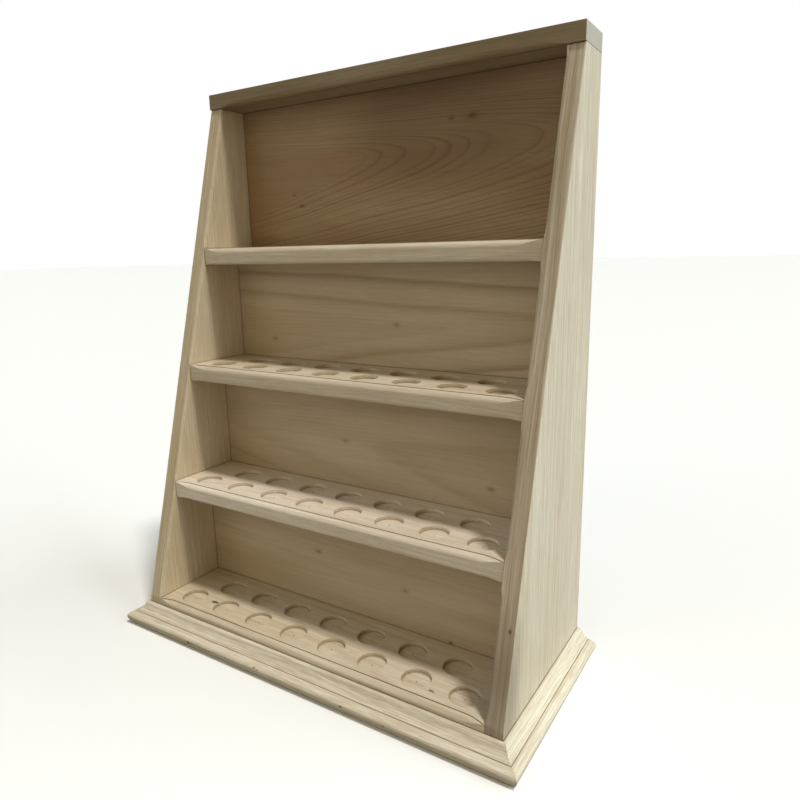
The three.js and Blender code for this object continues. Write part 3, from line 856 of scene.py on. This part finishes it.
# the lower shelf's paler tones are painted light: they stand for the brighter light on that shelf
SHELF_TONES = {
    "bottom": ("#dbcfba", "#d2c4ab", "#aa9372"), "lower": ("#eadfd0", "#e0d3c0", "#b09b7c"),
    "middle": ("#ddd1bd", "#d3c5ae", "#aa9372"), "upper": ("#dbcfba", "#d2c4ab", "#aa9372"),
}
SHELF_MARKS = {
    "bottom": [(-145.6, -62.7, 32, 2.4, 0.85, "#22252d"), (-142.8, -62.2, 32, 1.5, 0.7, "#22252d"),
               (146.8, -72.8, 32, 1.4, 0.8, "#3a3028"), (149.6, -73.4, 32, 0.9, 0.7, "#3a3028"),
               (159.2, -52.3, 32, 0.9, 0.9, "#f4f0e8")],
    "lower": [(186.0, -38.0, 165, 0.8, 0.7, "#4a4036"), (198.0, -30.0, 165, 0.7, 0.7, "#4a4036")],
    "middle": [(-60.0, 2.0, 298, 0.7, 0.6, "#4a4036")],
    "upper": [],
}
TREE_BELOW = 70
NEXT_TREE = (20, 15)
print("a shelf's rounds fade over, mm:", [
    round(run_out_of(radius, SHAPER_RADIUS), 1) for radius in (SHELF_ROUND, SHELF_UNDER_ROUND)])
for level, bay in enumerate(BAYS):
    low = box_of(f"{bay}_shelf")[0]
    tree_line = (low.y + NEXT_TREE[0] * level, low.z - TREE_BELOW - NEXT_TREE[1] * level)
    wood = raw_wood(
        f"planed_poplar_{bay}_shelf", "XYZ", SHELF_TONES[bay], centre=tree_line, taper=0.012,
        ring_mm=6.5, ring_depth=0.35, seed=3.1 + level, specks=SHELF_MARKS[bay])
    finish_board(shelf_board(bay), wood, "shelf_wood", f"{bay}_shelf")

# %% [markdown]
# ## The sides
# A side is one board with upright grain, plumb at the rear and leaning back at the front. Its
# outline is drawn in the plane of the board and pushed through its thickness. Between the shelves
# the inner front arris is rounded with the same kind of bit, so each bay gets its own stopped
# round.

# %% The sides' slope
SIDE_ROUND = 3.8
OUTER_ROUND = 1.4
SIDE_BIT_RADIUS = 28
TOP_OVERHANG = 2

foot_top = box_of("bottom_shelf")[1].z
side_top = SIDE_HIGH.z
lean = (TOP_LOW.y + TOP_OVERHANG - SIDE_LOW.y) / (side_top - foot_top)
inner_half = -SIDE_HIGH.x


def front_at(height):
    """Where the sides' front edge is at a height: plumb at the foot, then leaning back."""
    return SIDE_LOW.y + max(height - foot_top, 0) * lean


def bay_span(level):
    """The floor and the ceiling of a bay."""
    floor_height = box_of(f"{BAYS[level]}_shelf")[1].z
    ceiling = box_of(f"{BAYS[level + 1]}_shelf")[0].z if level + 1 < len(BAYS) else side_top
    return floor_height, ceiling


def leaning_cutter(x, inwards, bottom, top, radius, bit_radius):
    """A round-over on a leaning front arris of a side."""
    start = Vector((x, front_at(bottom), bottom))
    end = Vector((x, front_at(top), top))
    along = (end - start).normalized()
    into = Vector((0, along.z, -along.y))
    return edge_cutter(start, along, into, inwards, (end - start).length, radius, 0, bit_radius)


print("the front edge leans back, degrees:", round(math.degrees(math.atan(lean)), 1))

# %% [markdown]
# ## Two side boards
# The back boards sit in grooves on the inner face of each side. The front edge was planed along
# the grain, so its lines follow the slope: `front_edge` leans the wood's pattern with it on that
# face only, and browns it a little, because that is where hands and dust reach first.

# %% Side boards
HOUSING_DEPTH = 5
HOUSING_CLEARANCE = 0.2


def side_board(hand, side):
    """One side; `side` is -1 for the left one and 1 for the right one."""
    outline = [(SIDE_LOW.y, 0), (SIDE_LOW.y, foot_top), (front_at(side_top), side_top),
               (SIDE_HIGH.y, side_top), (SIDE_HIGH.y, 0)]
    faces_x = (side * inner_half, side * RIGHT_HIGH.x)
    faces = [[(x, y, z) for y, z in outline] for x in faces_x]
    board = solid_of(f"{hand}_side_board", *skin_through(faces), ease=EASE)
    rounds, grooves = [], []
    for level, bay in enumerate(BAYS):
        bottom, top = bay_span(level)
        rounds.append(leaning_cutter(
            side * inner_half, side * AXES["X"], bottom, top, SIDE_ROUND, SIDE_BIT_RADIUS))
        back_low, back_high = box_of(f"{bay}_back")
        ends = sorted((side * (inner_half - CUT_MARGIN), side * (inner_half + HOUSING_DEPTH)))
        overrun = CUT_MARGIN if top == side_top else 0
        grooves.append(box_between(
            (ends[0], back_low.y - HOUSING_CLEARANCE, bottom),
            (ends[1], back_high.y + HOUSING_CLEARANCE, top + overrun)))
    outer = leaning_cutter(
        side * RIGHT_HIGH.x, -side * AXES["X"], foot_top, side_top, OUTER_ROUND, 0)
    return carve(board, together(*rounds), outer, together(*grooves), holes_in(f"{hand}_side"))


SIDE_TONES = {"left": ("#dccdb2", "#d3c3a5", "#a89474"), "right": ("#dacfbc", "#d2c6b0", "#a8997e")}
SIDE_WEAR = {"left": 0.22, "right": 0.4}
SIDE_STREAKS = {"left": 0.1, "right": 0.2}
SIDE_MARKS = {
    "left": [],
    "right": [(220.2, -67.0, 111.5, 1.4, 0.8, "#2f2822"),
              (216.5, -88.0, 45.0, 34.0, 0.5, "#6f5d42"),
              (216.5, -72.0, 95.0, 24.0, 0.3, "#6f5d42"),
              (214.0, -84.5, 58.0, 1.0, 0.6, "#40342a"),
              (222.0, -80.5, 70.0, 0.8, 0.6, "#40342a")],
}
for hand, side in (("left", -1), ("right", 1)):
    wood = raw_wood(
        f"planed_poplar_{hand}_side", "ZYX", SIDE_TONES[hand], centre=(-310, side * 40),
        taper=0.004, ring_mm=2.7, ring_depth=0.5, streak_depth=SIDE_STREAKS[hand],
        fibre_depth=0.18, sway_mm=8, seed=11.3 + side, specks=SIDE_MARKS[hand],
        front_edge=(lean, foot_top, SIDE_WEAR[hand]))
    finish_board(side_board(hand, side), wood, "side_wood", f"{hand}_side")

# %% [markdown]
# ## The top board
# The top board lies over both sides. It is from a browner plank, its grain runs from side to side
# and its end grain, which shows at the right, is paler than its face. Only its lower front arris
# is worked, between the sides.

# %% Top board
TOP_TONES = ("#a3947a", "#917f62", "#66553e")
board = solid_of("top_board_wood", *box_between(TOP_LOW, TOP_HIGH), ease=EASE)
lower = edge_cutter(Vector((-inner_half, TOP_LOW.y, TOP_LOW.z)), AXES["X"], AXES["Y"], AXES["Z"],
                    2 * inner_half, SHELF_ROUND, SHELF_SHOULDER, SHAPER_RADIUS)
carve(board, lower, holes_in("top_board"))
wood = raw_wood(
    "planed_poplar_top_board", "XYZ", TOP_TONES, centre=(40, 540), taper=0.01, ring_mm=4.0,
    ring_depth=0.5, seed=21.7, end_tone="#dedbd8", end_depth=0.42)
finish_board(board, wood, "side_wood", "top_board")

# %% [markdown]
# ## The back boards
# Each bay is closed by its own thin flat-sawn board, so each shows a different flame. Apart from
# their tones and marks, the four differ only in where the tree's centre line ran and in how fast
# the rings narrow. The upper one is browner than the rest, and two wide marks darken it towards
# the top: a browner patch and painted shade under the top board.

# %% Back boards
BACKS = {
    "upper": {
        "tones": ("#ab9373", "#a18364", "#74573a"), "centre": (525.7, 174), "climb": 0.02,
        "taper": 0.097, "lopsided": 0.9, "ring_mm": 2.8, "heart_mm": 69, "heart_depth": 0.06,
        "ring_depth": 0.85, "seed": 31.2,
        # two wide soft marks, darker towards the top: a browner patch and painted shade under the
        # top board
        "specks": [(60, 99.7, 548, 62, 0.5, "#6a5138"), (190, 99.7, 520, 50, 0.3, "#6a5138")],
        "knots": [(-122, 99.7, 478, 1.5, 0.6), (-133, 99.7, 490.6, 1.1, 0.5),
                  (102.3, 99.7, 552.8, 2.6, 0.8), (79.1, 99.7, 552.7, 1.4, 0.6)]},
    "middle": {
        "tones": ("#cfbfa6", "#c7b59a", "#927a5c"), "centre": (339, 78), "climb": 0.053,
        "taper": 0.098, "ring_mm": 24, "first_ring": 12.4, "heart_mm": 12.4,
        "heart_depth": 0.16, "ring_depth": 0.75, "seed": 32.4,
        "knots": [(-152.9, 73.0, 321.7, 1.6, 0.35), (25.0, 73.0, 345.2, 1.5, 0.3)]},
    "lower": {
        "tones": ("#c9b9a2", "#bfae93", "#8f785a"), "centre": (215, 60), "climb": -0.08,
        "taper": -0.12, "ring_mm": 27, "ring_depth": 0.4, "seed": 33.9,
        "knots": [(154.6, 36.6, 191.6, 1.6, 0.35), (-23.1, 36.6, 217.0, 1.5, 0.3)]},
    "bottom": {
        "tones": ("#c8b8a0", "#bdab8e", "#957d5f"), "centre": (10, 90), "climb": -0.07,
        "taper": 0.01, "ring_mm": 19, "ring_depth": 0.2, "seed": 35.5,
        "knots": [(-39.2, 0.2, 94.2, 1.7, 0.35), (75.4, 0.2, 77.3, 1.6, 0.3),
                  (128.7, 0.2, 34.0, 1.2, 0.8)]},
}
BACK_EASE = 0.3
for bay, looks in BACKS.items():
    low, high = box_of(f"{bay}_back")
    wood = raw_wood(
        f"planed_poplar_{bay}_back", "XZY", streak_depth=0.07, fibre_depth=0.08, sway_mm=9,
        **looks)
    board = solid_of(f"{bay}_back_board", *box_between(low, high), ease=BACK_EASE)
    finish_board(board, wood, "back_wood", f"{bay}_back")

# %% [markdown]
# ## The base moulding
# The moulding round the foot is raw pine, run on a spindle moulder: a flat top, a hollow, a fine
# groove and a full nose. The wood is paler than the poplar and its fibres show more, but the
# recipe is the same. One section is drawn in millimetres, outwards and upwards, and swept along
# each length.

# %% Moulding section
GLUE_LINE = 0.1
MOULDING_HEIGHT = 24
MOULDING_PROJECTION = 20.5
MOULDING_TOP_FILLET = 3.6
MOULDING_TOP_STEP = 2
COVE_REACH = 8
QUIRK_HEIGHT = 13.6
QUIRK_DEPTH = 0.8
NOSE_HEIGHT = 8.6
FOOT_REACH = 17
FOOT_HEIGHT = 2
NOSE_UNDER_FLAT = 0.4
NOSE_UNDER_TURN = 0.4 * math.pi
COVE_BEND_REACH = 0.22  # where the hollow bends, as a share of its reach
COVE_BEND_HEIGHT = 0.36  # and as a share of its height
FILLET_EDGE = [(0.25, 0.45), (-0.1, 0.2), (-0.6, 0.1)]  # out in mm, down in shares of the step
REAR_EASE = (0.6, 0.4)
CURVE_STEPS = 14


def arc(middle, radii, first, last):
    """Points on an ellipse between two angles."""
    turns = [first + (last - first) * i / CURVE_STEPS for i in range(CURVE_STEPS + 1)]
    return [(middle[0] + radii[0] * math.cos(t), middle[1] + radii[1] * math.sin(t)) for t in turns]


def moulding_section():
    """The moulding's section: outwards from the carcass and up from the floor."""
    cove_start = MOULDING_TOP_FILLET + MOULDING_TOP_STEP / 2
    cove_top = MOULDING_HEIGHT - MOULDING_TOP_STEP
    nose_top = cove_start + COVE_REACH
    bend = (cove_start + COVE_REACH * COVE_BEND_REACH,
            QUIRK_HEIGHT + (cove_top - QUIRK_HEIGHT) * COVE_BEND_HEIGHT)
    quirk = (nose_top - QUIRK_DEPTH, QUIRK_HEIGHT + QUIRK_DEPTH / 2)
    section = [(GLUE_LINE, 0), (FOOT_REACH, 0), (FOOT_REACH, FOOT_HEIGHT)]
    section += arc((FOOT_REACH, NOSE_HEIGHT),
                   (MOULDING_PROJECTION - FOOT_REACH, NOSE_HEIGHT - FOOT_HEIGHT - NOSE_UNDER_FLAT),
                   -NOSE_UNDER_TURN, 0)
    section += arc((nose_top, NOSE_HEIGHT),
                   (MOULDING_PROJECTION - nose_top, QUIRK_HEIGHT - NOSE_HEIGHT),
                   0, math.pi / 2)[1:]
    section.append((nose_top - QUIRK_DEPTH / 2, QUIRK_HEIGHT - QUIRK_DEPTH))
    for i in range(CURVE_STEPS + 1):
        t = i / CURVE_STEPS
        section.append(tuple(
            (1 - t) ** 2 * quirk[k] + 2 * t * (1 - t) * bend[k] + t ** 2 * (cove_start, cove_top)[k]
            for k in (0, 1)))
    section += [(MOULDING_TOP_FILLET + out, MOULDING_HEIGHT - MOULDING_TOP_STEP * fall)
                for out, fall in FILLET_EDGE]
    section += [(REAR_EASE[0], MOULDING_HEIGHT), (GLUE_LINE, MOULDING_HEIGHT - REAR_EASE[1])]
    return section


section = moulding_section()
print("section points:", len(section), "reach", max(p[0] for p in section))

# %% [markdown]
# ## Three lengths of moulding
# The front length is mitred at both ends and each side length only at its front. A ring of
# section points stands at each end. At a corner each point goes as far along the length as it
# stands out from the rack, which is a mitre and keeps the section true. A glue line of a tenth of
# a millimetre is left between the two lengths, so the joint reads as a fine dark line.

# %% Moulding lengths
def foot_length(name, rings, wood):
    """One length of moulding, less the holes of its brads."""
    piece = solid_of(f"{name}_length", *skin_through(rings))
    carve(piece, holes_in(name))
    finish_board(piece, wood, "moulding_wood", name, sharp_degrees=40)


MOULDING_TONES = ("#e0d8c7", "#d7cdb8", "#b0a080")
FILLER = "#7d3a2c"
filler = [(-139.6, -109.2, 7.4, 1.7, 0.8, FILLER), (-134.0, -109.2, 8.0, 0.9, 0.6, FILLER),
          (-40.8, -109.0, 10.9, 1.2, 0.8, FILLER), (-36.0, -109.0, 10.0, 0.8, 0.6, FILLER),
          (70.0, -109.2, 9.2, 1.1, 0.8, FILLER), (118.0, -109.2, 8.0, 0.9, 0.6, FILLER)]
half = RIGHT_HIGH.x
front_wood = raw_wood(
    "moulded_pine_front", "XZY", MOULDING_TONES, centre=(-60, -130), taper=0.006, ring_mm=4.5,
    ring_depth=0.55, streak_depth=0.12, fibre_depth=0.28, seed=41.3, specks=filler)
foot_length("front_moulding", [
    [Vector((end * (half + out - GLUE_LINE), SIDE_LOW.y - out, up)) for out, up in section]
    for end in (-1, 1)
], front_wood)
for hand, side in (("left", -1), ("right", 1)):
    wood = raw_wood(
        f"moulded_pine_{hand}", "YZX", MOULDING_TONES, centre=(-50, side * 300), taper=0.006,
        ring_mm=4.5, ring_depth=0.5, streak_depth=0.1, fibre_depth=0.26, seed=44.0 + side)
    foot_length(f"{hand}_moulding", [
        [Vector((side * (half + out), SIDE_LOW.y - out + GLUE_LINE, up)) for out, up in section],
        [Vector((side * (half + out), SIDE_HIGH.y, up)) for out, up in section],
    ], wood)

# %% [markdown]
# ## Dowels and brads
# The hidden dowels are turned beech: harder and pinker than poplar, with short dark flecks. The
# brads are drawn steel wire, bright with slightly duller patches. Nobody sees them in the
# finished rack, but anyone who takes the model apart does.

# %% Beech dowels and steel brads
BEECH_RELIEF = 0.05

beech, tree, shader = blank_material("turned_beech_dowel")
fleck = node(tree, "TexNoise", {"Vector": in_millimetres(tree), "Scale": 0.9, "Detail": 4.0})
pink = node(tree, "MapRange", {"Value": fleck, "From Min": 0.35, "From Max": 0.65})
tone = node(tree, "Mix", {
    0: pink, 6: linear("#c79f74"), 7: linear("#dcb98f")}, out=2, data_type="RGBA")
tree.links.new(tone, shader.inputs["Base Color"])
rough = node(tree, "MapRange", {"Value": fleck, "To Min": 0.5, "To Max": 0.65})
tree.links.new(rough, shader.inputs["Roughness"])
bump = node(tree, "Bump", {"Height": fleck, "Distance": BEECH_RELIEF * MM})
tree.links.new(bump, shader.inputs["Normal"])

steel, tree, shader = blank_material("drawn_steel_brad")
wear = node(tree, "TexNoise", {"Vector": in_millimetres(tree), "Scale": 2.0, "Detail": 3.0})
tone = node(tree, "Mix", {
    0: wear, 6: linear("#8f9092"), 7: linear("#b5b4b0")}, out=2, data_type="RGBA")
tree.links.new(tone, shader.inputs["Base Color"])
rough = node(tree, "MapRange", {"Value": wear, "To Min": 0.25, "To Max": 0.45})
tree.links.new(rough, shader.inputs["Roughness"])
shader.inputs["Metallic"].default_value = 1.0

hidden = [name for name in sorted(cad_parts) if name.startswith(("dowel_", "brad_"))]
for name in hidden:
    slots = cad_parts[name].data.materials
    slots.clear()
    slots.append(beech if name.startswith("dowel_") else steel)
print("dowels and brads:", len(hidden))
